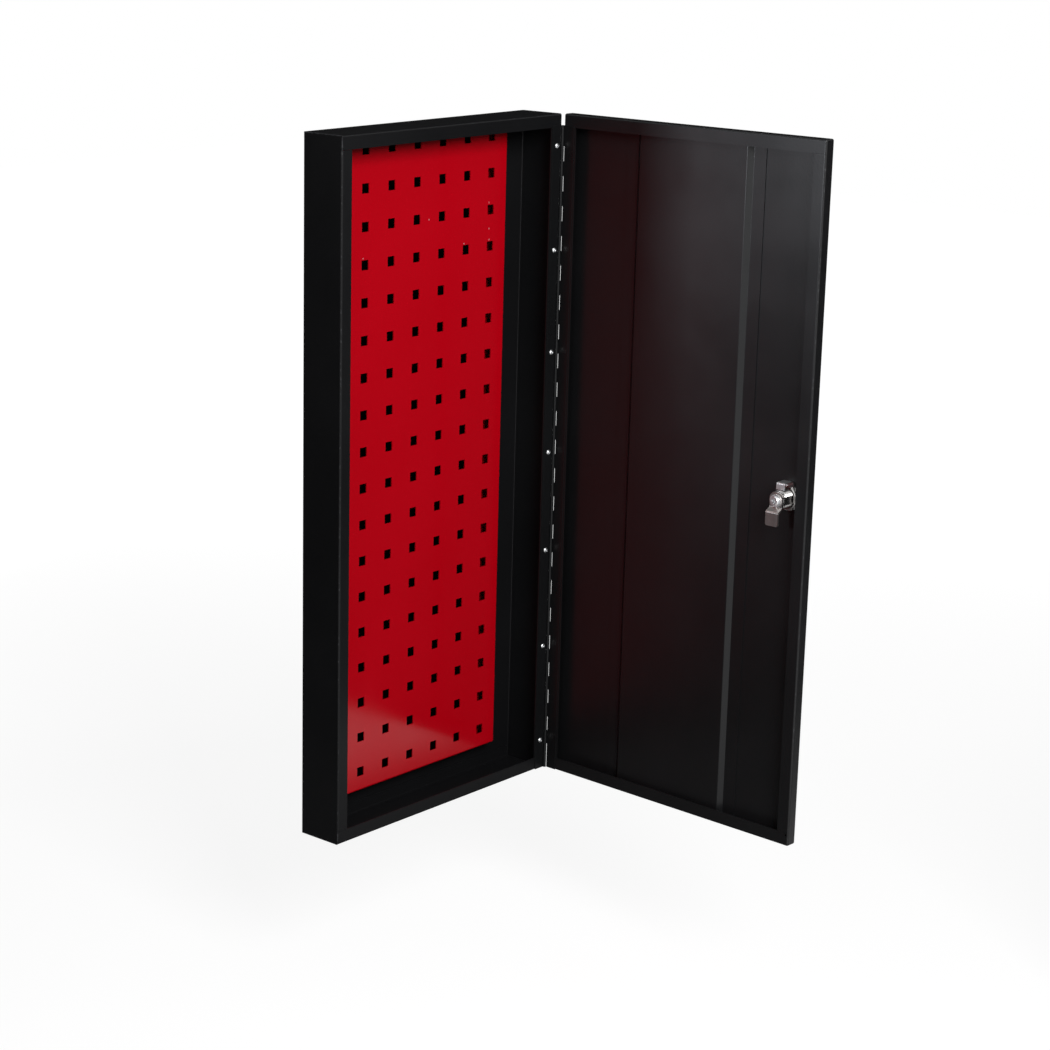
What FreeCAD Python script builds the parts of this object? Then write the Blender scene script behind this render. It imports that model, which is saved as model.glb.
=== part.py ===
"""Side locker for a tool chest: a folded steel tray with a perforated tool panel and a hinged, locked door.

Units are millimetres. X runs along the width with the hinge at +X, the locker opens towards -Y, and Z is up.
The origin is the centre of the four mounting holes, on the face that lies against the chest.
The door and all that it carries are drawn closed, then swung open about the hinge pin.
"""

import FreeCAD, Part
import math
import os

V = FreeCAD.Vector
UP = V(0, 0, 1)
INWARD = V(0, 1, 0)

# Cabinet: a wrap and two caps, folded from sheet
cabinet_width = 330.0
cabinet_height = 720.0
cabinet_depth = 52.0
cabinet_sheet = 1.0
bend_inside = 1.0
flange_width = 14.0
hinge_flange_width = 16.0
weld_tab = 12.0
butt_gap = 0.3
mount_hole_radius = 3.3
mount_spacing_x = 120.0
mount_spacing_z = 560.0

# Tool panel and the studs that it hangs on
panel_sheet = 1.0
panel_width = 240.0
panel_standoff = 16.5
panel_bottom_gap = 32.0
panel_lift_room = 8.0
panel_foot = 15.0
peg_columns = 6
peg_rows = 18
peg_pitch = 38.0
peg_hole = 10.0
peg_bottom_margin = 21.0
stud_spacing_z = 500.0
stud_neck_radius = 2.0
stud_head_radius = 3.8
stud_head_height = 1.6
stud_head_edge = 0.4
stud_shank_radius = 2.5
stud_play = 0.2
stud_fit = 0.02
keyhole_drop = 7.5

# Door: a welded tray with a hat section up its middle
door_thickness = 12.7
door_sheet = 1.0
door_stiffener_sheet = 0.8
stiffener_top = 135.0
stiffener_height = 5.0
stiffener_slope = 5.0
stiffener_brim = 15.0
corner_relief_radius = 1.2

# Piano hinge
hinge_length = 690.0
hinge_bottom_gap = 12.0
knuckle_count = 44
leaf_sheet = 0.8
leaf_width = 14.5
eye_radius = 1.8
eye_wrap = 285.0
eye_reach = 0.15
pin_clearance = 0.05
knuckle_gap = 0.3
notch_gap = 0.3
door_rest_angle = 88.0

# Rivets through the cabinet's hinge leaf
rivet_count = 7
rivet_end_margin = 18.0
rivet_shank_radius = 1.6
rivet_hole_radius = 1.65
rivet_head_radius = 2.8
rivet_head_height = 1.5
rivet_rim_height = 0.4
rivet_tail_radius = 2.4
rivet_tail_length = 3.5
rivet_tail_taper = 1.4
rivet_mandrel_radius = 1.1

# Cam lock
lock_from_edge = 30.0
lock_height = 2.0
lock_face_radius = 11.2
lock_face_height = 2.5
lock_face_chamfer = 1.0
barrel_radius = 9.4
barrel_flats = 16.0
barrel_length = 19.7
barrel_fit = 0.15
lock_washer_radius = 13.5
lock_washer_height = 1.2
strap_width = 10.2
strap_top = 17.1
strap_reach = 15.0
strap_end = 9.8
strap_bend_inside = 0.8
nut_flats = 24.0
nut_height = 4.0
nut_face_radius = 11.4
nut_chamfer = 30.0
nut_fit = 0.05
plug_radius = 6.0
plug_head_radius = 7.5
plug_head_height = 1.5
plug_clearance = 0.06
keyway_width = 2.0
keyway_height = 8.4
keyway_depth = 12.0
tail_width = 7.0
tail_fit = 0.05
stop_height = 1.0
stop_disc_radius = 7.0
stop_lug_radius = 9.2
stop_lug_angle = 60.0
stop_play = 2.0
cam_thickness = 2.0
cam_width = 15.0
cam_length = 25.0
cam_head_radius = 8.5
cam_crank_start = 7.5
cam_crank_run = 3.8
cam_crank = 6.0
cam_bend_inside = 0.8
cam_tip_radius = 2.0
cam_turn = 90.0
cam_washer_radius = 6.4
cam_washer_height = 1.2
cam_screw_head_radius = 4.7
cam_screw_head_height = 2.0
cam_screw_head_edge = 0.8
cam_screw_radius = 2.4
cam_screw_length = 9.0
screw_fit = 0.05
cross_slot_width = 1.2
cross_slot_length = 5.2
cross_slot_depth = 1.2

# Keeper behind the left front flange
keeper_sheet = 1.0
keeper_length = 60.0
keeper_width = 10.5
keeper_edge_gap = 1.5
keeper_clearance = 0.4

# Levels that the pieces share
half_width = cabinet_width / 2
half_height = cabinet_height / 2
bend_outside = bend_inside + cabinet_sheet
front_face = -cabinet_depth
flange_back = front_face + cabinet_sheet
wall_inside = -cabinet_sheet
closed_gap = 2 * eye_radius
door_face = front_face - closed_gap
door_front = door_face - door_thickness
skin_inside = door_front + door_sheet
hinge_axis = V(half_width + eye_reach, front_face - eye_radius, 0)
hinge_bottom = -half_height + hinge_bottom_gap
knuckle_pitch = hinge_length / knuckle_count
lock_axis_x = -half_width + lock_from_edge
barrel_end = door_front + barrel_length
cam_root = barrel_end + stop_height
cam_back = cam_root + cam_thickness
cam_bearing = cam_root + cam_crank
panel_face = wall_inside - panel_standoff
panel_bottom = -half_height + panel_bottom_gap
panel_top = half_height - cabinet_sheet - panel_lift_room
foot_middle_x = panel_width / 2 - panel_foot / 2


def box(low, high):
    """Box between two opposite corners."""
    size = [high[i] - low[i] for i in range(3)]
    return Part.makeBox(size[0], size[1], size[2], V(*low))


def rounded_box(low, high, radius):
    """Box with all its edges rounded."""
    solid = box(low, high)
    return solid.makeFillet(radius, solid.Edges)


def cylinder(radius, start, end, x=0.0, z=0.0):
    """Cylinder along Y from one level to another."""
    return Part.makeCylinder(radius, end - start, V(x, start, z), INWARD)


def rim_at(disc, level):
    """Round edge of a disc at a level of Y."""
    return [edge for edge in disc.Edges if abs(edge.CenterOfMass.y - level) < 0.01]


def sheet_side(points, middle_radius, offset):
    """Edges of the line that runs beside the middle line of a folded sheet, at an offset to its left."""
    runs = [(b - a).normalize() for a, b in zip(points, points[1:])]
    lefts = [V(-run.y, run.x, 0) for run in runs]
    here = points[0] + lefts[0] * offset
    edges = []
    for i in range(1, len(runs)):
        turn = math.atan2(runs[i - 1].cross(runs[i]).z, runs[i - 1].dot(runs[i]))
        side = math.copysign(1.0, turn)
        trim = middle_radius * math.tan(abs(turn) / 2)
        bend_start = points[i] - runs[i - 1] * trim
        bend_end = points[i] + runs[i] * trim
        centre = bend_start + lefts[i - 1] * (side * middle_radius)
        crown = centre + (points[i] - centre).normalize() * (middle_radius - side * offset)
        first = bend_start + lefts[i - 1] * offset
        last = bend_end + lefts[i] * offset
        edges.append(Part.LineSegment(here, first).toShape())
        edges.append(Part.Arc(first, crown, last).toShape())
        here = last
    end = points[-1] + lefts[-1] * offset
    edges.append(Part.LineSegment(here, end).toShape())
    return edges, points[0] + lefts[0] * offset, end


def folded_sheet(corners, thickness, inside_radius, low, high):
    """Folded sheet whose middle line runs through corners in the XY plane, from one level of Z to another."""
    points = [V(x, y, 0) for x, y in corners]
    middle_radius = inside_radius + thickness / 2
    left, left_start, left_end = sheet_side(points, middle_radius, thickness / 2)
    right, right_start, right_end = sheet_side(points, middle_radius, -thickness / 2)
    ends = [
        Part.LineSegment(left_start, right_start).toShape(),
        Part.LineSegment(left_end, right_end).toShape(),
    ]
    section = Part.Face(Part.Wire(Part.__sortEdges__(left + right + ends)))
    solid = section.extrude(UP * (high - low))
    solid.translate(UP * low)
    return solid


def lay_across(solid):
    """Turns a shape drawn along Z so that it runs along X, with its X on Y and its Y on Z."""
    solid.rotate(V(0, 0, 0), V(1, 1, 1), 120)
    return solid


def cabinet_wrap():
    """Back wall, side walls and upright front flanges, folded from one sheet."""
    side = half_width - cabinet_sheet / 2
    front = front_face + cabinet_sheet / 2
    back = -cabinet_sheet / 2
    corners = [
        (-half_width + flange_width, front),
        (-side, front),
        (-side, back),
        (side, back),
        (side, front),
        (half_width - hinge_flange_width, front),
    ]
    wrap = folded_sheet(corners, cabinet_sheet, bend_inside, -half_height, half_height)
    notch_start = half_height - flange_width - butt_gap
    for sign in (-1, 1):
        low, high = sorted((sign * notch_start, sign * (half_height + 1)))
        wrap = wrap.cut(box((-half_width, front_face - 1, low), (half_width, flange_back, high)))
        wall = half_width - cabinet_sheet
        wrap = wrap.cut(box((-wall, front_face, low), (wall, front_face + bend_outside, high)))
    holes = [
        cylinder(mount_hole_radius, wall_inside, 0, x * mount_spacing_x / 2, z * mount_spacing_z / 2)
        for x in (-1, 1)
        for z in (-1, 1)
    ]
    holes += [
        cylinder(stud_shank_radius + stud_fit, wall_inside, 0, x, z) for x, z in stud_places()
    ]
    holes += [
        cylinder(rivet_hole_radius, front_face, flange_back, rivet_x(), z) for z in rivet_levels()
    ]
    return wrap.cut(Part.makeCompound(holes))


def end_cap(sign):
    """Cap at the top (sign 1) or the bottom (sign -1), with its front flange and its weld tab."""
    level = half_height - cabinet_sheet / 2
    front = front_face + cabinet_sheet / 2
    back = wall_inside - cabinet_sheet / 2
    corners = [
        (front, half_height - flange_width),
        (front, level),
        (back, level),
        (back, half_height - cabinet_sheet - weld_tab),
    ]
    cap = lay_across(folded_sheet(corners, cabinet_sheet, bend_inside, -half_width, half_width))
    for side in (-1, 1):
        wall = sorted((side * (half_width - cabinet_sheet), side * (half_width + 1)))
        corner = sorted((side * (half_width - cabinet_sheet - bend_outside), side * half_width))
        tab_level = half_height - bend_outside
        cap = cap.cut(box((wall[0], flange_back, 0), (wall[1], 0, half_height + 1)))
        cap = cap.cut(box((corner[0], wall_inside - bend_outside, 0), (corner[1], 0, tab_level)))
        cap = cap.cut(
            box((corner[0], wall_inside - bend_inside, 0), (corner[1], 0, half_height + 1))
        )
    if sign < 0:
        cap.rotate(V(0, 0, 0), INWARD, 180)
    return cap


def stud_places():
    """X and Z of the panel's studs, on the middle line of each foot."""
    return [(x * foot_middle_x, z * stud_spacing_z / 2) for x in (-1, 1) for z in (-1, 1)]


def tool_panel():
    """Perforated panel with four returns, and two feet that lie on the back wall."""
    side = panel_width / 2 - panel_sheet / 2
    face = panel_face + panel_sheet / 2
    seat = wall_inside - panel_sheet / 2
    bend = bend_inside + panel_sheet
    corners = [
        (-panel_width / 2 + panel_foot, seat),
        (-side, seat),
        (-side, face),
        (side, face),
        (side, seat),
        (panel_width / 2 - panel_foot, seat),
    ]
    panel = folded_sheet(corners, panel_sheet, bend_inside, panel_bottom + bend, panel_top - bend)
    for edge, towards in ((panel_bottom, 1), (panel_top, -1)):
        lip = [
            (face, edge + towards * 2 * bend),
            (face, edge + towards * panel_sheet / 2),
            (wall_inside - bend, edge + towards * panel_sheet / 2),
        ]
        reach = panel_width / 2 - bend
        panel = panel.fuse(lay_across(folded_sheet(lip, panel_sheet, bend_inside, -reach, reach)))
    notch_floor = half_height - cabinet_sheet - weld_tab - panel_lift_room
    panel = panel.cut(
        box((-panel_width / 2, wall_inside - bend, notch_floor), (panel_width / 2, wall_inside, panel_top))
    )
    holes = []
    for column in range(peg_columns):
        x = (column - (peg_columns - 1) / 2) * peg_pitch
        for row in range(peg_rows):
            z = panel_bottom + peg_bottom_margin + row * peg_pitch
            low = (x - peg_hole / 2, panel_face, z - peg_hole / 2)
            holes.append(box(low, (x + peg_hole / 2, panel_face + panel_sheet, z + peg_hole / 2)))
    for x, z in stud_places():
        entry = z - keyhole_drop
        slot_half = stud_neck_radius + stud_play
        floor = wall_inside - panel_sheet
        holes.append(cylinder(stud_head_radius + stud_play, floor, wall_inside, x, entry))
        holes.append(box((x - slot_half, floor, entry), (x + slot_half, wall_inside, z)))
        holes.append(cylinder(slot_half, floor, wall_inside, x, z))
    return panel.cut(Part.makeCompound(holes)).removeSplitter()


def panel_studs():
    """Shoulder studs swaged into the back wall, flush with its back."""
    studs = []
    neck_end = wall_inside - panel_sheet - stud_play
    for x, z in stud_places():
        shank = cylinder(stud_shank_radius, wall_inside, 0, x, z)
        neck = cylinder(stud_neck_radius, neck_end, wall_inside, x, z)
        head = cylinder(stud_head_radius, neck_end - stud_head_height, neck_end, x, z)
        head = head.makeChamfer(stud_head_edge, rim_at(head, neck_end - stud_head_height))
        studs.append(shank.fuse(neck).fuse(head))
    return Part.makeCompound(studs)


def lock_keeper():
    """Channel behind the left front flange; the cam turns behind its rear leg."""
    outer = -half_width + cabinet_sheet + keeper_edge_gap
    inner = outer + keeper_width - keeper_sheet / 2
    front = flange_back + keeper_sheet / 2
    rear = cam_bearing - keeper_clearance - keeper_sheet / 2
    corners = [(outer, front), (inner, front), (inner, rear), (outer, rear)]
    low = lock_height - keeper_length / 2
    return folded_sheet(corners, keeper_sheet, bend_inside, low, low + keeper_length)


def door_tray():
    """Welded door tray: skin, four edge walls and four return flanges."""
    bend = bend_inside + door_sheet
    outer = rounded_box(
        (-half_width, door_front, -half_height), (half_width, door_face, half_height), bend
    )
    inner = rounded_box(
        (-half_width + door_sheet, skin_inside, -half_height + door_sheet),
        (half_width - door_sheet, door_face - door_sheet, half_height - door_sheet),
        bend_inside,
    )
    opening_top = half_height - flange_width
    window = box(
        (-half_width + flange_width, door_face - door_sheet - 1, -opening_top),
        (half_width - hinge_flange_width, door_face + 1, opening_top),
    )
    tray = outer.cut(inner).cut(window)
    seams = []
    for level in (-opening_top, opening_top):
        low, high = level - butt_gap / 2, level + butt_gap / 2
        seams.append(
            box(
                (-half_width + bend, door_face - door_sheet, low),
                (-half_width + flange_width, door_face, high),
            )
        )
        seams.append(
            box(
                (half_width - hinge_flange_width, door_face - door_sheet, low),
                (half_width - bend, door_face, high),
            )
        )
    relief_x = half_width - bend - corner_relief_radius
    relief_z = -opening_top - 2 * corner_relief_radius
    for x in (-relief_x, relief_x):
        seams.append(cylinder(corner_relief_radius, door_face - door_sheet, door_face, x, relief_z))
    return tray.cut(Part.makeCompound(seams)).cut(barrel_hole(door_front, skin_inside))


def door_stiffener():
    """Hat section spot-welded to the inside of the door skin."""
    foot = skin_inside + door_stiffener_sheet / 2
    crown = skin_inside + stiffener_height - door_stiffener_sheet / 2
    half = [
        (stiffener_top / 2 + stiffener_slope + stiffener_brim, foot),
        (stiffener_top / 2 + stiffener_slope, foot),
        (stiffener_top / 2, crown),
    ]
    corners = half + [(-x, y) for x, y in reversed(half)]
    end = half_height - door_sheet - bend_inside - butt_gap
    return folded_sheet(corners, door_stiffener_sheet, bend_inside, -end, end)


def rivet_x():
    """X of the hinge rivets, on the middle line of the hinge leaf."""
    return hinge_axis.x - eye_reach - leaf_width / 2


def rivet_levels():
    """Heights of the hinge rivets, spread over the length of the hinge."""
    pitch = (hinge_length - 2 * rivet_end_margin) / (rivet_count - 1)
    middle = (rivet_count - 1) / 2
    return [(i - middle) * pitch for i in range(rivet_count)]


def hinge_leaf(first, mirror):
    """Leaf with its rolled knuckles, on the cabinet's flange, or mirrored onto the door's."""
    seat = front_face
    leaf_front = seat - leaf_sheet
    inner_edge = half_width - leaf_width
    notch_edge = hinge_axis.x - eye_radius - notch_gap
    pieces = [box((inner_edge, leaf_front, hinge_bottom), (notch_edge, seat, hinge_bottom + hinge_length))]
    for index in range(first, knuckle_count, 2):
        low = hinge_bottom + index * knuckle_pitch + knuckle_gap / 2
        length = knuckle_pitch - knuckle_gap
        centre = V(hinge_axis.x, hinge_axis.y, low)
        eye = Part.makeCylinder(eye_radius, length, centre, UP, eye_wrap)
        eye = eye.cut(Part.makeCylinder(eye_radius - leaf_sheet, length, centre, UP))
        eye.rotate(centre, UP, 90 - eye_wrap)
        pieces.append(eye)
        pieces.append(box((notch_edge, leaf_front, low), (hinge_axis.x, seat, low + length)))
    leaf = pieces[0].multiFuse(pieces[1:]).removeSplitter()
    if mirror:
        return leaf.mirror(V(0, hinge_axis.y, 0), INWARD)
    holes = [cylinder(rivet_hole_radius, leaf_front, seat, rivet_x(), z) for z in rivet_levels()]
    return leaf.cut(Part.makeCompound(holes))


def hinge_pin():
    """Pin through all the knuckles."""
    start = V(hinge_axis.x, hinge_axis.y, hinge_bottom)
    return Part.makeCylinder(eye_radius - leaf_sheet - pin_clearance, hinge_length, start, UP)


def hinge_rivets():
    """Blind rivets with domed heads, through the leaf and the flange."""
    head_seat = front_face - leaf_sheet
    tip = head_seat - rivet_head_height
    rim = head_seat - rivet_rim_height
    rise = rim - tip
    dome_radius = (rivet_head_radius ** 2 + rise ** 2) / (2 * rise)
    half_angle = math.asin(rivet_head_radius / dome_radius) / 2
    crown = V(dome_radius * math.sin(half_angle), tip + dome_radius * (1 - math.cos(half_angle)), 0)
    tail_end = flange_back + rivet_tail_length
    outline = [
        V(rivet_head_radius, rim, 0),
        V(rivet_head_radius, head_seat, 0),
        V(rivet_shank_radius, head_seat, 0),
        V(rivet_shank_radius, flange_back, 0),
        V(rivet_tail_radius, flange_back, 0),
        V(rivet_tail_radius, tail_end - rivet_tail_taper, 0),
        V(rivet_mandrel_radius, tail_end, 0),
        V(0, tail_end, 0),
        V(0, tip, 0),
    ]
    profile = [Part.LineSegment(a, b).toShape() for a, b in zip(outline, outline[1:])]
    profile.append(Part.Arc(outline[-1], crown, outline[0]).toShape())
    rivet = Part.Face(Part.Wire(Part.__sortEdges__(profile))).revolve(V(0, 0, 0), INWARD, 360)
    return Part.makeCompound([rivet.translated(V(rivet_x(), 0, z)) for z in rivet_levels()])


def flatted_bar(radius, flats, start, end):
    """Round bar with two flats, on the lock's axis."""
    bar = cylinder(radius, start, end, lock_axis_x, lock_height)
    size = radius + 1
    keep = box(
        (lock_axis_x - flats / 2, start, lock_height - size),
        (lock_axis_x + flats / 2, end, lock_height + size),
    )
    return bar.common(keep)


def barrel_hole(start, end):
    """Hole that takes the barrel and its two flats."""
    return flatted_bar(barrel_radius + barrel_fit, barrel_flats + 2 * barrel_fit, start, end)


def lock_cylinder(radius, start, end):
    """Cylinder on the lock's axis."""
    return cylinder(radius, start, end, lock_axis_x, lock_height)


def ring_sector(outer, inner, start, end, from_angle, sweep):
    """Sector of a ring on the lock's axis; angles count from straight down towards -X."""
    centre = V(lock_axis_x, 0, lock_height)
    corners = [
        centre + V(0, start, -inner),
        centre + V(0, start, -outer),
        centre + V(0, end, -outer),
        centre + V(0, end, -inner),
        centre + V(0, start, -inner),
    ]
    section = Part.Face(Part.makePolygon(corners))
    section.rotate(centre, INWARD, from_angle)
    return section.revolve(centre, INWARD, sweep)


def lock_body():
    """Barrel with a round face, two flats and a stop rim on its rear end."""
    face = lock_cylinder(lock_face_radius, door_front - lock_face_height, door_front)
    face = face.makeChamfer(lock_face_chamfer, rim_at(face, door_front - lock_face_height))
    barrel = flatted_bar(barrel_radius, barrel_flats, door_front, barrel_end)
    open_angle = stop_lug_angle + cam_turn + 2 * stop_play
    rim_start = stop_lug_angle / 2 + cam_turn + stop_play
    stop_rim = ring_sector(
        barrel_radius,
        stop_disc_radius + 2 * plug_clearance,
        barrel_end,
        barrel_end + stop_height,
        rim_start,
        360 - open_angle,
    )
    keep = flatted_bar(barrel_radius, barrel_flats, barrel_end, barrel_end + stop_height)
    body = face.fuse(barrel).fuse(stop_rim.common(keep))
    bore = lock_cylinder(plug_radius + plug_clearance, door_front - lock_face_height, barrel_end)
    recess = lock_cylinder(
        plug_head_radius + plug_clearance,
        door_front - lock_face_height,
        door_front - lock_face_height + plug_head_height + plug_clearance,
    )
    return body.cut(bore).cut(recess).removeSplitter()


def lock_washer():
    """Washer between the skin and the nut; its strap folds out over the nut and down to the barrel."""
    end = skin_inside + lock_washer_height
    disc = lock_cylinder(lock_washer_radius, skin_inside, end)
    foot = skin_inside + lock_washer_height / 2
    front = skin_inside + strap_reach - lock_washer_height / 2
    top = strap_top - lock_washer_height / 2
    corners = [(foot, 0), (foot, top), (front, top), (front, strap_end)]
    half = strap_width / 2
    strap = lay_across(folded_sheet(corners, lock_washer_height, strap_bend_inside, -half, half))
    strap.translate(V(lock_axis_x, 0, lock_height))
    return disc.fuse(strap).cut(barrel_hole(skin_inside, end)).removeSplitter()


def lock_nut():
    """Hexagon nut on the barrel, with its corners turned down."""
    start = skin_inside + lock_washer_height
    end = start + nut_height
    corner = nut_flats / math.sqrt(3)
    ring = [
        V(
            lock_axis_x + corner * math.cos(math.radians(60 * i)),
            start,
            lock_height + corner * math.sin(math.radians(60 * i)),
        )
        for i in range(7)
    ]
    nut = Part.Face(Part.makePolygon(ring)).extrude(INWARD * nut_height)
    spread = nut_height / math.tan(math.radians(nut_chamfer))
    base = V(lock_axis_x, start, lock_height)
    cone = Part.makeCone(nut_face_radius + spread, nut_face_radius, nut_height, base, INWARD)
    nut = nut.common(cone)
    return nut.cut(lock_cylinder(barrel_radius + nut_fit, start, end))


def square_bar(width, start, end):
    """Square bar on the lock's axis."""
    return box(
        (lock_axis_x - width / 2, start, lock_height - width / 2),
        (lock_axis_x + width / 2, end, lock_height + width / 2),
    )


def lock_plug():
    """Turning core with its keyway, and the square tail that drives the cam."""
    front = door_front - lock_face_height
    head = lock_cylinder(plug_head_radius, front, front + plug_head_height)
    core = lock_cylinder(plug_radius, front, barrel_end)
    tail = square_bar(tail_width, barrel_end, cam_back)
    keyway = box(
        (lock_axis_x - keyway_width / 2, front, lock_height - keyway_height / 2),
        (lock_axis_x + keyway_width / 2, front + keyway_depth, lock_height + keyway_height / 2),
    )
    thread = lock_cylinder(cam_screw_radius + screw_fit, cam_back - cam_screw_length, cam_back)
    return head.fuse(core).fuse(tail).cut(keyway).cut(thread).removeSplitter()


def stop_washer():
    """Washer on the square tail; its lug runs between the ends of the barrel's stop rim."""
    disc = lock_cylinder(stop_disc_radius, barrel_end, cam_root)
    lug = ring_sector(
        stop_lug_radius, stop_disc_radius / 2, barrel_end, cam_root, -stop_lug_angle / 2, stop_lug_angle
    )
    return disc.fuse(lug).cut(square_bar(tail_width + 2 * tail_fit, barrel_end, cam_root)).removeSplitter()


def lock_cam():
    """Cranked cam plate, hanging down."""
    root = cam_root + cam_thickness / 2
    tip = root + cam_crank
    corners = [
        (root, cam_head_radius),
        (root, -cam_crank_start),
        (tip, -cam_crank_start - cam_crank_run),
        (tip, -cam_length),
    ]
    strip = lay_across(folded_sheet(corners, cam_thickness, cam_bend_inside, -cam_width / 2, cam_width / 2))
    depth = tip + cam_thickness - cam_root
    blade = box(
        (-cam_width / 2, cam_root, -cam_length), (cam_width / 2, cam_root + depth, 0)
    )
    tip_edges = [
        edge for edge in blade.Edges
        if abs(edge.CenterOfMass.z + cam_length) < 0.01 and abs(edge.tangentAt(edge.FirstParameter).y) > 0.9
    ]
    outline = blade.makeFillet(cam_tip_radius, tip_edges)
    outline = outline.fuse(Part.makeCylinder(cam_head_radius, depth, V(0, cam_root, 0), INWARD))
    cam = strip.common(outline).translated(V(lock_axis_x, 0, lock_height))
    return cam.cut(square_bar(tail_width + 2 * tail_fit, cam_root, cam_back)).removeSplitter()


def cam_washer():
    """Washer under the head of the cam's screw."""
    end = cam_back + cam_washer_height
    return lock_cylinder(cam_washer_radius, cam_back, end).cut(
        lock_cylinder(cam_screw_radius + screw_fit, cam_back, end)
    )


def cam_screw():
    """Pan-head screw in the end of the plug, with a cross slot."""
    seat = cam_back + cam_washer_height
    end = seat + cam_screw_head_height
    head = lock_cylinder(cam_screw_head_radius, seat, end)
    head = head.makeChamfer(cam_screw_head_edge, rim_at(head, end))
    shank = lock_cylinder(cam_screw_radius, seat - cam_screw_length, seat)
    screw = head.fuse(shank)
    for width, height in ((cross_slot_width, cross_slot_length), (cross_slot_length, cross_slot_width)):
        screw = screw.cut(
            box(
                (lock_axis_x - width / 2, end - cross_slot_depth, lock_height - height / 2),
                (lock_axis_x + width / 2, end, lock_height + height / 2),
            )
        )
    return screw


fixed_nodes = {
    "cabinet_wrap": cabinet_wrap(),
    "top_cap": end_cap(1),
    "bottom_cap": end_cap(-1),
    "tool_panel": tool_panel(),
    "panel_studs": panel_studs(),
    "lock_keeper": lock_keeper(),
    "hinge_leaf_body": hinge_leaf(1, False),
    "hinge_pin": hinge_pin(),
    "hinge_rivets": hinge_rivets(),
}
door_nodes = {
    "door_tray": door_tray(),
    "door_stiffener": door_stiffener(),
    "hinge_leaf_door": hinge_leaf(0, True),
    "lock_body": lock_body(),
    "lock_washer": lock_washer(),
    "lock_nut": lock_nut(),
    "lock_plug": lock_plug(),
    "stop_washer": stop_washer(),
    "lock_cam": lock_cam(),
    "cam_washer": cam_washer(),
    "cam_screw": cam_screw(),
}
for shape in door_nodes.values():
    shape.rotate(hinge_axis, UP, door_rest_angle)

os.makedirs("parts", exist_ok=True)
for name, shape in {**fixed_nodes, **door_nodes}.items():
    shape.exportStep("parts/" + name + ".step")
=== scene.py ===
import bmesh
import bpy
import math
from mathutils import Matrix, Vector


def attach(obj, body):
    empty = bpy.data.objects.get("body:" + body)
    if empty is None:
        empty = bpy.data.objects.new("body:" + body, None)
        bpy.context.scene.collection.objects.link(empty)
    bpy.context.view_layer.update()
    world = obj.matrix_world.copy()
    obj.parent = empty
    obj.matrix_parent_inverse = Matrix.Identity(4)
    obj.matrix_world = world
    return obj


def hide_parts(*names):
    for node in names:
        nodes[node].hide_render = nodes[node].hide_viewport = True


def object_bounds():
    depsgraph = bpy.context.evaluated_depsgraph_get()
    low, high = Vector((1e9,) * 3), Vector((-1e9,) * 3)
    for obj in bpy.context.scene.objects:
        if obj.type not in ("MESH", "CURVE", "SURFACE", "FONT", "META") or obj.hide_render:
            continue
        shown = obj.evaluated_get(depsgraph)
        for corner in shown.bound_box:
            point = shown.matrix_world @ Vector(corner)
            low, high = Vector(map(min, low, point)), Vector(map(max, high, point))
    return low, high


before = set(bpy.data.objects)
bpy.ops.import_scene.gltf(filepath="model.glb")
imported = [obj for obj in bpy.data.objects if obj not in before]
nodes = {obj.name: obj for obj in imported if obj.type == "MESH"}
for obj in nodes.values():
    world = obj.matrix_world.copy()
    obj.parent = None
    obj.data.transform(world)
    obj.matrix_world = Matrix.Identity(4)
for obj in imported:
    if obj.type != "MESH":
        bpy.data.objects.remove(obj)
cad_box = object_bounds()
scene = bpy.context.scene
scene.view_settings.view_transform = "Standard"

# Camera: a long lens on a tripod, in front of the locker and to its left, a little above its top.
# It looks into the open cabinet and at the inside of the door at once.
camera_place = Vector((-1.9276, -1.7373, 0.6151))
camera_heading = 46.995
camera_dip = 15.188
camera_roll = 0.569
camera_data = bpy.data.cameras.new("camera")
camera_data.sensor_width = 36.0
camera_data.lens = 87.49
camera_data.shift_x = 0.1476
camera_data.shift_y = 0.0238
camera = bpy.data.objects.new("camera", camera_data)
scene.collection.objects.link(camera)
camera.matrix_world = (
    Matrix.Translation(camera_place)
    @ Matrix.Rotation(math.radians(-camera_heading), 4, "Z")
    @ Matrix.Rotation(math.radians(90 - camera_dip), 4, "X")
    @ Matrix.Rotation(math.radians(camera_roll), 4, "Z")
)
scene.camera = camera

# Studio: a pale floor some way below the hanging locker and white surroundings. Both are white where they
# are seen or mirrored, and light the locker only softly. Mirrored, the floor has a painted shadow: it is
# dark from a line in front of the locker backwards, as if under a tool chest that is not in the scene.
floor_drop = 0.19
floor_half = 6.0
floor_grey = (0.2, 0.2, 0.2)
floor_glow = 0.88
glow_start = 0.9
glow_full = 2.4
painted_shadow_line = -0.475
painted_shadow_blur = 0.03
sky_fill = 0.25
floor_shape = bmesh.new()
bmesh.ops.create_grid(floor_shape, x_segments=1, y_segments=1, size=floor_half)
bmesh.ops.translate(floor_shape, verts=floor_shape.verts, vec=(0, 0, cad_box[0].z - floor_drop))
floor_mesh = bpy.data.meshes.new("studio_floor")
floor_shape.to_mesh(floor_mesh)
floor_shape.free()
floor = bpy.data.objects.new("studio_floor", floor_mesh)
scene.collection.objects.link(floor)


def wire(tree, node, sockets):
    """Gives the sockets of a node their values, or links them to the outputs of other nodes."""
    for name, value in sockets.items():
        if isinstance(value, bpy.types.NodeSocket):
            tree.links.new(value, node.inputs[name])
        else:
            node.inputs[name].default_value = value


def add_node(tree, kind, sockets, **settings):
    """Adds a shader node and returns its first output."""
    node = tree.nodes.new("ShaderNode" + kind)
    for name, value in settings.items():
        setattr(node, name, value)
    wire(tree, node, sockets)
    return node.outputs[0]


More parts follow.
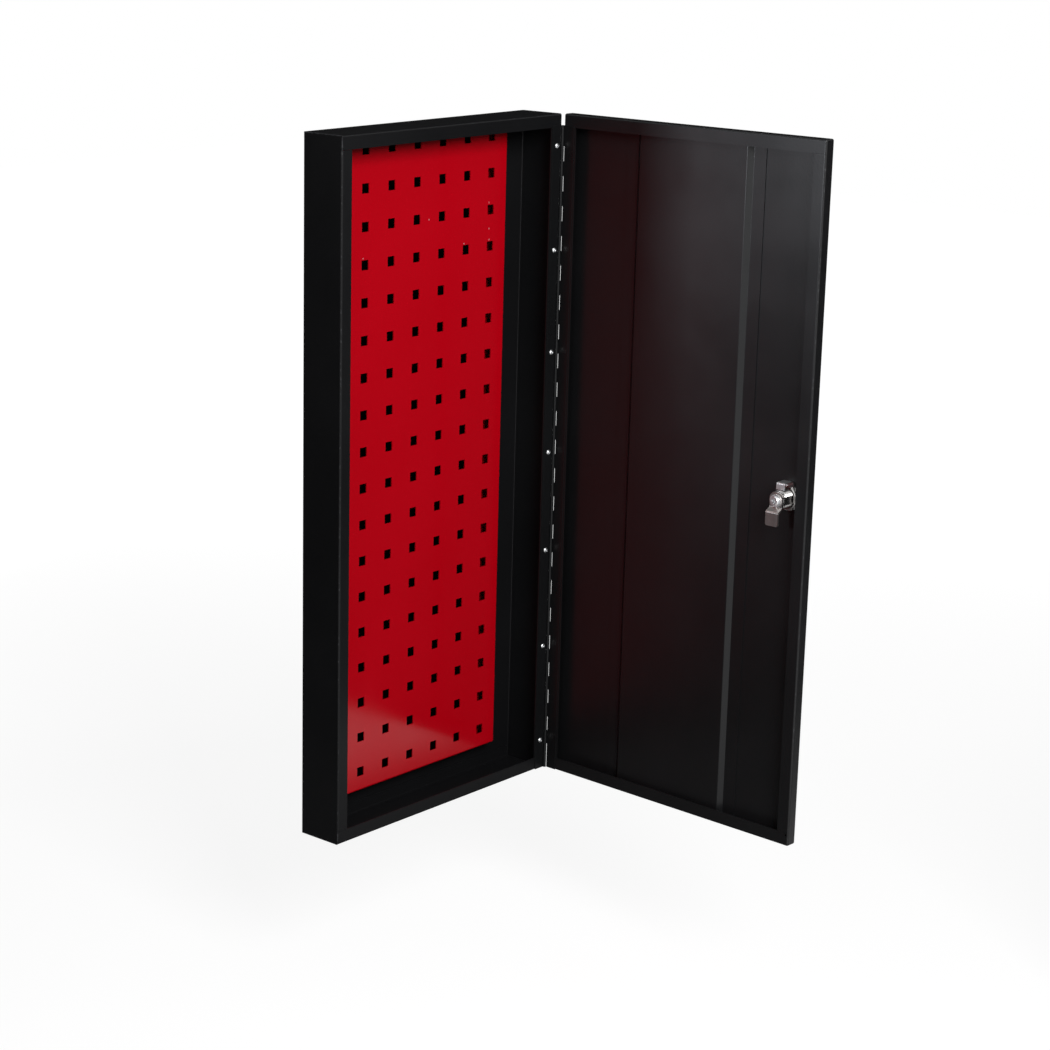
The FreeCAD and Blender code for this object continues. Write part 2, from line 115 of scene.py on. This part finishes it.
def combine(tree, operation, first, second):
    """Adds, multiplies or compares two values."""
    return add_node(tree, "Math", {0: first, 1: second}, operation=operation)


def remap(tree, value, start, end, low, high):
    """Turns the range from start to end into the range from low to high."""
    return add_node(tree, "MapRange", {
        "Value": value, "From Min": start, "From Max": end, "To Min": low, "To Max": high,
    })


def seen_or_mirrored(tree):
    """One where a camera, mirror or glass ray looks, and zero for the light that lands on the locker."""
    path = tree.nodes.new("ShaderNodeLightPath").outputs
    seen = combine(tree, "MAXIMUM", path["Is Camera Ray"], path["Is Glossy Ray"])
    return combine(tree, "MAXIMUM", seen, path["Is Transmission Ray"])


floor_paint = bpy.data.materials.new("floor_paint")
floor_paint.use_nodes = True
paint_tree = floor_paint.node_tree
floor_point = paint_tree.nodes.new("ShaderNodeTexCoord").outputs["Object"]
floor_split = paint_tree.nodes.new("ShaderNodeSeparateXYZ")
wire(paint_tree, floor_split, {0: floor_point})
# Painted shadow: in mirrors the floor is dark behind this line, as if a tool chest stood there.
outside_painted_shadow = remap(
    paint_tree, floor_split.outputs["Y"],
    painted_shadow_line - painted_shadow_blur, painted_shadow_line + painted_shadow_blur, 1.0, 0.0,
)
paths = paint_tree.nodes.new("ShaderNodeLightPath").outputs
shown = combine(paint_tree, "MAXIMUM", paths["Is Camera Ray"], outside_painted_shadow)
shown = combine(paint_tree, "MULTIPLY", seen_or_mirrored(paint_tree), shown)
from_middle = paint_tree.nodes.new("ShaderNodeVectorMath")
from_middle.operation = "LENGTH"
wire(paint_tree, from_middle, {0: floor_point})
level = remap(paint_tree, from_middle.outputs["Value"], glow_start, glow_full, floor_glow, 1.0)
wire(paint_tree, paint_tree.nodes["Principled BSDF"], {
    "Base Color": (*floor_grey, 1),
    "Roughness": 0.9,
    "Specular IOR Level": 0.0,
    "Emission Color": (1, 1, 1, 1),
    "Emission Strength": combine(paint_tree, "MULTIPLY", shown, level),
})
floor_mesh.materials.append(floor_paint)

studio = bpy.data.worlds.new("studio")
studio.use_nodes = True
scene.world = studio
studio_tree = studio.node_tree
sky_level = remap(studio_tree, seen_or_mirrored(studio_tree), 0.0, 1.0, sky_fill, 1.0)
wire(studio_tree, studio_tree.nodes["Background"], {"Color": (1, 1, 1, 1), "Strength": sky_level})


# Lamps: soft boxes in front, beside, above and behind the locker. Dark cards are mirrored in its sides
# and its top, and the low one keeps the light of the lamp behind off the door's lower half.
def soft_lamp(name, place, target, width, height, power, tint=(1, 1, 1)):
    """Rectangular soft lamp that points at a target."""
    data = bpy.data.lights.new(name, "AREA")
    data.shape = "RECTANGLE"
    data.size = width
    data.size_y = height
    data.energy = power
    data.color = tint
    lamp = bpy.data.objects.new(name, data)
    scene.collection.objects.link(lamp)
    lamp.location = place
    lamp.rotation_euler = (Vector(target) - Vector(place)).to_track_quat("-Z", "Y").to_euler()


soft_lamp("front_lamp", (-0.9, -1.9, 1.15), (0, -0.05, 0.25), width=0.9, height=0.9, power=46)
soft_lamp("side_lamp", (-2.4, -0.9, 0.9), (0.1, -0.2, 0.0), width=1.0, height=1.4, power=4)
soft_lamp("top_lamp", (0.4, -0.6, 2.0), (0, -0.1, 0), width=1.4, height=1.4, power=2)
soft_lamp(
    "back_lamp", (-2.5, 0.7, 0.45), (0.16, -0.3, 0.1), width=0.16, height=0.5, power=50,
    tint=(0.9, 0.94, 1.0),
)


def card_felt(name, colour):
    """Dull cloth that covers a card."""
    felt = bpy.data.materials.new(name)
    felt.use_nodes = True
    wire(felt.node_tree, felt.node_tree.nodes["Principled BSDF"], {
        "Base Color": (*colour, 1), "Roughness": 1.0, "Specular IOR Level": 0.0,
    })
    return felt


def dark_card(name, start, end, bottom, top, felt):
    """Upright card between two places on the floor plan. The camera sees it only in mirrors."""
    shape = bmesh.new()
    corners = [(*start, bottom), (*end, bottom), (*end, top), (*start, top)]
    shape.faces.new([shape.verts.new(corner) for corner in corners])
    mesh = bpy.data.meshes.new(name)
    shape.to_mesh(mesh)
    shape.free()
    mesh.materials.append(felt)
    card = bpy.data.objects.new(name, mesh)
    scene.collection.objects.link(card)
    card.visible_camera = False


grey_felt = card_felt("grey_felt", (0.2, 0.18, 0.175))
black_felt = card_felt("black_felt", (0.015, 0.015, 0.015))
dark_card("card_behind", (-0.62, 0.075), (-0.62, 1.2), bottom=-0.5, top=0.9, felt=grey_felt)
dark_card("card_in_front", (0.3, -0.75), (2.5, -0.75), bottom=-0.545, top=0.8, felt=grey_felt)
dark_card("card_low", (-1.2, -0.1), (-1.2, 0.45), bottom=-0.545, top=0.25, felt=grey_felt)
dark_card("card_above", (-0.4, 1.6), (1.5, -0.5), bottom=0.36, top=2.6, felt=black_felt)

# Cabinet wrap: back, sides and upright front flanges in one folded steel sheet, 1 mm thick.
# It is powder-coated black: satin, with a faint orange peel and gloss that varies from place to place.
cabinet_middle = (0, -0.026, 0)
cabinet_half = (0.165, 0.026, 0.36)
hinge_axis = Vector((0.16515, -0.0538, 0))
door_turn = math.radians(88)
coat_dark = (0.0054, 0.0055, 0.006)
coat_light = (0.0082, 0.0083, 0.0091)
# Paler colour at the box's outer edges: partly wear, partly a painted highlight along the bends.
worn_and_glint_colour = (0.05, 0.051, 0.055)
cloud_scale = 9.0
cloud_range = (0.35, 0.65)
dust_scale = 900.0
dust_range = (0.66, 0.78)
dust_cover = 0.5
dust_paleness = 2.2
dust_lift = 0.004
wear_and_glint_scale = 260.0
wear_and_glint_range = (1.2, 1.45)
wear_and_glint_reach = 0.003
wear_dulling = 0.15
wave_scale = 7.0
wave_height = 0.0012


def noise(tree, place, scale, detail):
    """Cloudy noise between zero and one, finer where the scale is larger."""
    return add_node(tree, "TexNoise", {"Vector": place, "Scale": scale, "Detail": detail})


def mix(tree, share, first, second):
    """Colour between the first, where the share is zero, and the second, where it is one."""
    return add_node(tree, "MixRGB", {0: share, 1: first, 2: second})


def edge_wear_and_glint(tree, place, middle, half):
    """One along the outer edges of a folded box, and zero away from them."""
    inward = add_node(tree, "VectorMath", {0: place, 1: middle}, operation="SUBTRACT")
    inward = add_node(tree, "VectorMath", {0: inward}, operation="ABSOLUTE")
    inward = add_node(tree, "VectorMath", {0: half, 1: inward}, operation="SUBTRACT")
    split = tree.nodes.new("ShaderNodeSeparateXYZ")
    wire(tree, split, {0: inward})
    near = [remap(tree, split.outputs[i], 0.0, wear_and_glint_reach, 1.0, 0.0) for i in range(3)]
    pairs = [combine(tree, "MULTIPLY", near[i], near[i - 1]) for i in range(3)]
    worn_and_glint = combine(tree, "MAXIMUM", pairs[0], pairs[1])
    return combine(tree, "MAXIMUM", worn_and_glint, pairs[2])


def powder_coat(name, dark, light, gloss, specular, peel_scale, peel_height, worn_and_glint_box=None, turned=False):
    """Powder coat: clouded colour and gloss, orange peel, dust specks, and paler edges that are partly wear
    and partly a painted highlight along the bends.
    """
    material = bpy.data.materials.new(name)
    material.use_nodes = True
    tree = material.node_tree
    place = tree.nodes.new("ShaderNodeTexCoord").outputs["Object"]
    cloud = noise(tree, place, cloud_scale, detail=5.0)
    colour = mix(tree, cloud, (*dark, 1), (*light, 1))
    dust = remap(tree, noise(tree, place, dust_scale, detail=2.0), *dust_range, 0.0, dust_cover)
    dusty = tuple(min(1.0, dust_paleness * c + dust_lift) for c in light)
    colour = mix(tree, dust, colour, (*dusty, 1))
    rough = remap(tree, cloud, *cloud_range, *gloss)
    if worn_and_glint_box:
        box_place = place
        if turned:
            box_place = add_node(tree, "Mapping", {
                "Vector": place,
                "Location": hinge_axis - Matrix.Rotation(-door_turn, 3, "Z") @ hinge_axis,
                "Rotation": (0, 0, -door_turn),
            })
        patches = noise(tree, place, wear_and_glint_scale, detail=4.0)
        worn_and_glint = combine(tree, "ADD", edge_wear_and_glint(tree, box_place, *worn_and_glint_box), patches)
        worn_and_glint = remap(tree, worn_and_glint, *wear_and_glint_range, 0.0, 1.0)
        # Paler edges: partly wear, partly a painted highlight where the bends would catch the light.
        colour = mix(tree, worn_and_glint, colour, (*worn_and_glint_colour, 1))
        rough = combine(tree, "ADD", rough, combine(tree, "MULTIPLY", worn_and_glint, wear_dulling))
    wave = noise(tree, place, wave_scale, detail=1.0)
    sheet = add_node(tree, "Bump", {"Strength": 0.3, "Distance": wave_height, "Height": wave})
    orange_peel = noise(tree, place, peel_scale, detail=3.0)
    bump = add_node(tree, "Bump", {
        "Strength": 0.35, "Distance": peel_height, "Height": orange_peel, "Normal": sheet,
    })
    wire(tree, tree.nodes["Principled BSDF"], {
        "Base Color": colour, "Roughness": rough, "Specular IOR Level": specular, "Normal": bump,
    })
    return material


def dress(names, material):
    """Gives one material to every slot of the named pieces."""
    for name in names:
        slots = nodes[name].data.materials
        slots.clear()
        slots.append(material)


black_coat = powder_coat(
    "black_coat", coat_dark, coat_light, gloss=(0.30, 0.38), specular=0.17,
    peel_scale=1400.0, peel_height=0.00005, worn_and_glint_box=(cabinet_middle, cabinet_half),
)
dress(["cabinet_wrap"], black_coat)

# End caps: the top and the bottom of the cabinet, each folded with its front flange and spot-welded
# into the wrap before coating.
dress(["top_cap", "bottom_cap"], black_coat)

# Tool panel: steel sheet, 1 mm thick, punched with square holes on a 38 mm grid and folded all round.
# Its red coat is glossier than the black. Hooks have knocked small chips off the edges of six holes.
panel_front = -0.0175
chip_radius = 0.0009
chip_colour = (0.56, 0.16, 0.17)
chip_places = [
    (0.0921, 0.2705), (0.0930, 0.2434), (0.0934, 0.2319), (0.0538, 0.2317), (-0.0009, 0.2614),
    (-0.0979, 0.2318),
]
red_coat = powder_coat(
    "red_coat", dark=(0.47, 0.0, 0.0055), light=(0.53, 0.0008, 0.0085), gloss=(0.12, 0.18), specular=0.32,
    peel_scale=900.0, peel_height=0.00002,
)
red_tree = red_coat.node_tree
red_shader = red_tree.nodes["Principled BSDF"]
red_place = red_tree.nodes.new("ShaderNodeTexCoord").outputs["Object"]
chipped = 0.0
for chip_x, chip_z in chip_places:
    chip_distance = red_tree.nodes.new("ShaderNodeVectorMath")
    chip_distance.operation = "DISTANCE"
    wire(red_tree, chip_distance, {0: red_place, 1: (chip_x, panel_front, chip_z)})
    chip = combine(red_tree, "LESS_THAN", chip_distance.outputs["Value"], chip_radius)
    chipped = combine(red_tree, "MAXIMUM", chipped, chip)
whole_colour = red_shader.inputs["Base Color"].links[0].from_socket
wire(red_tree, red_shader, {"Base Color": mix(red_tree, chipped, whole_colour, (*chip_colour, 1))})
dress(["tool_panel"], red_coat)

# Panel studs: four turned steel shoulder studs, zinc-plated and swaged into the back wall.
# The panel hangs on them by its keyhole slots.
plate_cloud_scale = 260.0
plate_dullest = 0.72


def plated_metal(name, colour, gloss, grain, grain_height):
    """Plated metal with cloudy gloss, thin dull spots and a fine grain."""
    material = bpy.data.materials.new(name)
    material.use_nodes = True
    tree = material.node_tree
    place = tree.nodes.new("ShaderNodeTexCoord").outputs["Object"]
    cloud = noise(tree, place, plate_cloud_scale, detail=4.0)
    stretched = add_node(tree, "Mapping", {"Vector": place, "Scale": grain})
    lines = noise(tree, stretched, 1.0, detail=2.0)
    dull = [plate_dullest * c for c in colour]
    wire(tree, tree.nodes["Principled BSDF"], {
        "Metallic": 1.0,
        "Base Color": mix(tree, cloud, (*dull, 1), (*colour, 1)),
        "Roughness": remap(tree, cloud, 0.0, 1.0, *gloss),
        "Normal": add_node(tree, "Bump", {"Strength": 0.4, "Distance": grain_height, "Height": lines}),
    })
    return material


zinc_plate = plated_metal(
    "zinc_plate", (0.80, 0.81, 0.82), gloss=(0.30, 0.44), grain=(900, 900, 900), grain_height=0.00002
)
dress(["panel_studs"], zinc_plate)

# Keeper: a folded steel channel, coated with the cabinet and welded behind the left front flange.
# The lock's cam turns behind it.
dress(["lock_keeper"], black_coat)

# Piano hinge: two leaves of 0.8 mm steel strip, each cut into 22 tongues that are rolled into knuckles
# round a bare steel pin. It is cut to length with a longer knuckle at each end, and coated black.
hinge_low = -0.348
hinge_length = 0.69
hinge_end = 0.006
hinge_foot = 0.0117
leaf_edge = 0.1505
leaf_sheet = 0.0008
leaf_rounding = 0.00012
cabinet_notch = 0.00155
door_notch = 0.00188
knuckle_count = 44
knuckle_gap = 0.00012
eye_radius = 0.0018
eye_wrap = math.radians(285)
eye_steps = 30
hinge_coat = powder_coat(
    "hinge_coat", dark=(0.005, 0.0052, 0.0056), light=(0.008, 0.0083, 0.009), gloss=(0.26, 0.34),
    specular=0.22, peel_scale=1800.0, peel_height=0.00003,
)
pin_steel = plated_metal(
    "pin_steel", (0.45, 0.45, 0.46), gloss=(0.25, 0.35), grain=(2500, 2500, 120), grain_height=0.00002
)
dress(["hinge_pin"], pin_steel)


def new_piece(name, shape, material, body, replaced):
    """Makes an object of a finished shape and puts it in the place of a piece of the frame."""
    bmesh.ops.recalc_face_normals(shape, faces=shape.faces)
    mesh = bpy.data.meshes.new(name)
    shape.to_mesh(mesh)
    shape.free()
    mesh.materials.append(material)
    piece = bpy.data.objects.new(name, mesh)
    scene.collection.objects.link(piece)
    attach(piece, body)
    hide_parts(replaced)


def lay_open(shape):
    """Swings what was made on the closed door out with it."""
    bmesh.ops.rotate(shape, verts=shape.verts, cent=hinge_axis, matrix=Matrix.Rotation(door_turn, 3, "Z"))


def ring_points(radius, start, sweep):
    """Points of an arc round the hinge pin, seen from above."""
    angles = [start + sweep * i / eye_steps for i in range(eye_steps + 1)]
    return [(hinge_axis.x + radius * math.cos(a), hinge_axis.y + radius * math.sin(a)) for a in angles]


def add_prism(shape, outline, bottom, height):
    """Adds an upright prism over an outline of (x, y)."""
    base = shape.faces.new([shape.verts.new((x, y, bottom)) for x, y in outline])
    grown = bmesh.ops.extrude_face_region(shape, geom=[base], use_keep_orig=True)["geom"]
    raised = [part for part in grown if isinstance(part, bmesh.types.BMVert)]
    bmesh.ops.translate(shape, verts=raised, vec=(0, 0, height))


def hinge_leaf(first_knuckle, notch_depth):
    """Leaf on the cabinet's side: a strip with rounded edges, and every second knuckle."""
    back = hinge_axis.y + eye_radius
    front = back - leaf_sheet
    notch = hinge_axis.x - notch_depth
    leaf = bmesh.new()
    strip = [(leaf_edge, front), (notch, front), (notch, back), (leaf_edge, back)]
    add_prism(leaf, strip, hinge_low - hinge_foot, hinge_foot + hinge_length + hinge_end)
    bmesh.ops.bevel(
        leaf, geom=leaf.edges[:], offset=leaf_rounding, segments=2, profile=0.5, affect="EDGES", material=-1
    )
    pitch = hinge_length / knuckle_count
    outer = ring_points(eye_radius, math.pi / 2, -eye_wrap)
    inner = ring_points(eye_radius - leaf_sheet, math.pi / 2 - eye_wrap, eye_wrap)
    for knuckle in range(first_knuckle, knuckle_count, 2):
        bottom = hinge_low + knuckle * pitch + knuckle_gap / 2
        height = pitch - knuckle_gap
        if knuckle == 0:
            bottom -= hinge_foot
            height += hinge_foot
        elif knuckle == knuckle_count - 1:
            height += hinge_end
        add_prism(leaf, [(notch, back)] + outer + inner + [(notch, front)], bottom, height)
    return leaf


cabinet_leaf = hinge_leaf(0, cabinet_notch)
new_piece("cabinet_leaf", cabinet_leaf, hinge_coat, "cabinet", "hinge_leaf_body")
door_leaf = hinge_leaf(1, door_notch)
bmesh.ops.scale(door_leaf, verts=door_leaf.verts, vec=(1, -1, 1), space=Matrix.Translation(-hinge_axis))
lay_open(door_leaf)
new_piece("door_leaf", door_leaf, hinge_coat, "door", "hinge_leaf_door")

# Hinge rivets: seven zinc-plated blind rivets through the hinge leaf and the cabinet's flange.
# Each has a domed head with the broken end of its mandrel in the middle, and a set tail behind.
rivet_x = 0.15775
rivet_lowest = -0.327
rivet_pitch = 0.109
rivet_count = 7
rivet_steps = 32
rivet_seat = -0.0528
flange_back = -0.051
rivet_head = [
    (0.0, 0.0007), (0.0006, 0.00075), (0.00085, 0.0006), (0.00095, 0.0003), (0.00115, 0.0003),
    (0.00125, 0.0014), (0.0014, 0.00148), (0.0019, 0.00128), (0.0024, 0.00088), (0.0027, 0.00052),
    (0.0028, 0.0003), (0.0028, 0.0),
]
rivet_shank = 0.0016
rivet_tail = [(0.0024, flange_back), (0.0024, -0.0489), (0.0011, -0.0475), (0.0, -0.0475)]


def turned_on_y(shape, profile, middle, steps, closed=False):
    """Spins a profile of (radius, y) round an axis along Y."""
    corners = [shape.verts.new((middle.x + radius, y, middle.z)) for radius, y in profile]
    ends = corners[1:] + (corners[:1] if closed else [])
    lines = [shape.edges.new(pair) for pair in zip(corners, ends)]
    already = set(shape.verts) - set(corners)
    bmesh.ops.spin(
        shape, geom=corners + lines, cent=middle, axis=(0, 1, 0), angle=math.tau, steps=steps,
        use_merge=True,
    )
    made = [vert for vert in shape.verts if vert not in already]
    bmesh.ops.remove_doubles(shape, verts=made, dist=1e-7)


rivet_profile = (
    [(radius, rivet_seat - height) for radius, height in rivet_head]
    + [(rivet_shank, rivet_seat), (rivet_shank, flange_back)]
    + rivet_tail
)
rivets = bmesh.new()
for rivet in range(rivet_count):
    rivet_middle = Vector((rivet_x, 0, rivet_lowest + rivet * rivet_pitch))
    turned_on_y(rivets, rivet_profile, rivet_middle, rivet_steps)
new_piece("rivet_heads", rivets, zinc_plate, "cabinet", "hinge_rivets")

# Door: a welded tray of the same sheet, its skin turned over into four edge walls and four return
# flanges, coated black like the cabinet.
door_middle = (0, -0.06195, 0)
door_half = (0.165, 0.00635, 0.36)
door_coat = powder_coat(
    "door_coat", coat_dark, coat_light, gloss=(0.31, 0.39), specular=0.3,
    peel_scale=480.0, peel_height=0.00012, worn_and_glint_box=(door_middle, door_half), turned=True,
)
dress(["door_tray"], door_coat)

# Stiffener: a wide shallow hat section folded from 0.8 mm sheet, spot-welded by its brims up the middle
# of the door's inside and coated with it.
dress(["door_stiffener"], door_coat)

# Lock barrel: a nickel-plated die casting, threaded over its whole length, with two flats that keep
# it from turning in the door, a round face outside and a stop rim on its rear end.
lock_middle = Vector((-0.135, 0, 0.002))
door_front = -0.0683
barrel_end = -0.0486
barrel_outer = 0.0094
barrel_bore = 0.00606
barrel_flat = 0.008
barrel_chamfer = 0.0004
barrel_steps = 72
thread_lead = 0.0012
thread_start = door_front + thread_lead
thread_pitch = 0.001
thread_depth = 0.00045
thread_count = round((barrel_end - thread_start) / thread_pitch) - 1
face_front = -0.0708
face_edge = [(0.0104, face_front), (0.0109, -0.07065), (0.0112, -0.0702), (0.0112, door_front)]
face_recess = 0.00756
recess_floor = -0.06924
rim_inner = 0.00712
rim_end = -0.0476
rim_start = math.radians(122)
rim_sweep = math.radians(206)
rim_steps = 24
nickel_plate = plated_metal(
    "lock_plate", (0.45, 0.44, 0.43), gloss=(0.22, 0.34), grain=(300, 1600, 1600), grain_height=0.00002
)
barrel_profile = [(barrel_bore, door_front), (barrel_outer, door_front)]
for turn in range(thread_count):
    crest = thread_start + turn * thread_pitch
    barrel_profile += [(barrel_outer, crest), (barrel_outer - thread_depth, crest + thread_pitch / 2)]
barrel_profile += [
    (barrel_outer, thread_start + thread_count * thread_pitch),
    (barrel_outer, barrel_end - barrel_chamfer),
    (barrel_outer - barrel_chamfer, barrel_end),
    (barrel_bore, barrel_end),
]
barrel = bmesh.new()
turned_on_y(barrel, barrel_profile, lock_middle, barrel_steps, closed=True)
for side in (-1, 1):
    cut = bmesh.ops.bisect_plane(
        barrel,
        geom=barrel.verts[:] + barrel.edges[:] + barrel.faces[:],
        plane_co=lock_middle + Vector((side * barrel_flat, 0, 0)),
        plane_no=(side, 0, 0),
        clear_outer=True,
    )
    cut_edges = [part for part in cut["geom_cut"] if isinstance(part, bmesh.types.BMEdge)]
    bmesh.ops.holes_fill(barrel, edges=cut_edges)
face_profile = [(face_recess, face_front)] + face_edge + [
    (barrel_bore, door_front), (barrel_bore, recess_floor), (face_recess, recess_floor),
]
turned_on_y(barrel, face_profile, lock_middle, barrel_steps, closed=True)
rim_profile = [
    (rim_inner, barrel_end), (barrel_outer, barrel_end), (barrel_outer, rim_end), (rim_inner, rim_end),
]
rim_verts = [barrel.verts.new((lock_middle.x, y, lock_middle.z - radius)) for radius, y in rim_profile]
rim_edges = [barrel.edges.new((rim_verts[i - 1], rim_verts[i])) for i in range(4)]
bmesh.ops.rotate(barrel, verts=rim_verts, cent=lock_middle, matrix=Matrix.Rotation(rim_start, 3, "Y"))
already = set(barrel.edges) - set(rim_edges)
bmesh.ops.spin(
    barrel, geom=rim_verts + rim_edges, cent=lock_middle, axis=(0, 1, 0), angle=rim_sweep, steps=rim_steps
)
open_ends = [edge for edge in barrel.edges if edge not in already and edge.is_boundary]
bmesh.ops.holes_fill(barrel, edges=open_ends)
lay_open(barrel)
new_piece("lock_barrel", barrel, nickel_plate, "door", "lock_body")

# Lock fixings: a zinc-plated steel washer whose strap is folded out over the nut and down to the barrel,
# and the hexagon nut that clamps the lock to the door.
dress(["lock_washer"], zinc_plate)
dress(["lock_nut"], nickel_plate)

# Plug: the turning core of the lock, in nickel-plated brass, with the keyway in front and a square tail.
# The stop washer on the tail limits its turn.
dress(["lock_plug"], nickel_plate)
dress(["stop_washer"], zinc_plate)

# Cam: a cranked plate of nickel-plated steel on the plug's square tail. A pan-head screw and a washer,
# both zinc-plated, hold it.
cam_plate = plated_metal(
    "cam_plate", (0.62, 0.58, 0.56), gloss=(0.26, 0.34), grain=(150, 150, 1500), grain_height=0.00001
)
dress(["lock_cam"], cam_plate)
dress(["cam_washer", "cam_screw"], zinc_plate)
